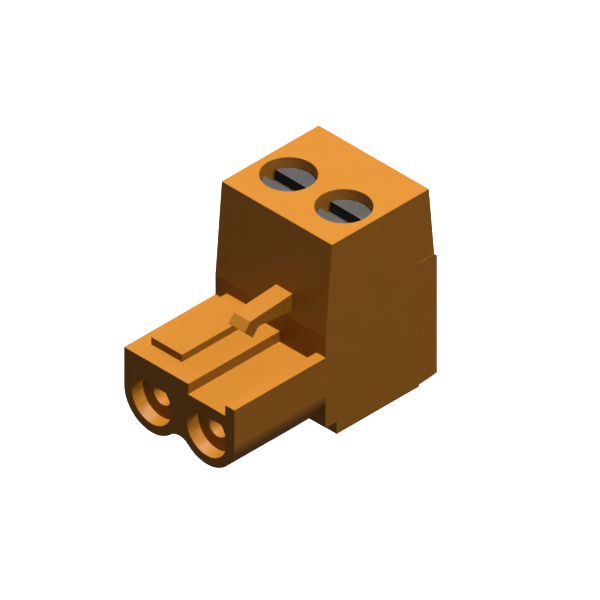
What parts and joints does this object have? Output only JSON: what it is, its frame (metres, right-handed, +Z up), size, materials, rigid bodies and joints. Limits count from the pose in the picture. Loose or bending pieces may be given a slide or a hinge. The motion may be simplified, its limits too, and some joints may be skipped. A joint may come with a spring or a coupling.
{
  "type": "pluggable terminal block",
  "caption": "Pluggable screw terminal block in orange plastic: slotted clamp screws on top, wire entries behind, and a latching nose with round pin entries in front.",
  "frame": {"origin": "centre of the bounding box's base, on the plane of the body's flat underside", "axes": "+X across the poles, -Y out of the nose towards the header, +Y out of the wire entries, +Z up along the screws"},
  "size_m": [0.0102, 0.0186, 0.0153],
  "materials": {
    "housing_plastic": "satin moulded plastic, orange",
    "screw_steel": "turned, zinc plated and passivated",
    "yoke_steel": "stamped, zinc plated",
    "contact_metal": "stamped copper alloy, tinned",
    "spring_steel": "stainless spring strip"
  },
  "bodies": {
    "plug": {"housing": "housing_plastic", "rear_cover": "housing_plastic", "contact_1": "contact_metal", "contact_2": "contact_metal", "over_spring_1": "spring_steel", "over_spring_2": "spring_steel"},
    "screw_1": {"screw_1": "screw_steel"},
    "screw_2": {"screw_2": "screw_steel"},
    "yoke_1": {"yoke_1": "yoke_steel"},
    "yoke_2": {"yoke_2": "yoke_steel"}
  },
  "joints": [
    {"name": "screw_1_turn", "type": "hinge", "parent": "plug", "child": "screw_1", "pos_m": [-0.00254, 0.00328, 0.01456], "axis": [0, 0, 1], "range_deg": [-2320, 0]},
    {"name": "yoke_1_lift", "type": "slide", "parent": "plug", "child": "yoke_1", "axis": [0, 0, 1], "range_m": [0, 0.0029]},
    {"name": "screw_2_turn", "type": "hinge", "parent": "plug", "child": "screw_2", "pos_m": [0.00254, 0.00328, 0.01456], "axis": [0, 0, 1], "range_deg": [-2320, 0]},
    {"name": "yoke_2_lift", "type": "slide", "parent": "plug", "child": "yoke_2", "axis": [0, 0, 1], "range_m": [0, 0.0029]}
  ],
  "couplings": [
    {"joint": "screw_1_turn", "follows": "yoke_1_lift", "rad_per_m": -13963},
    {"joint": "screw_2_turn", "follows": "yoke_2_lift", "rad_per_m": -13963}
  ]
}
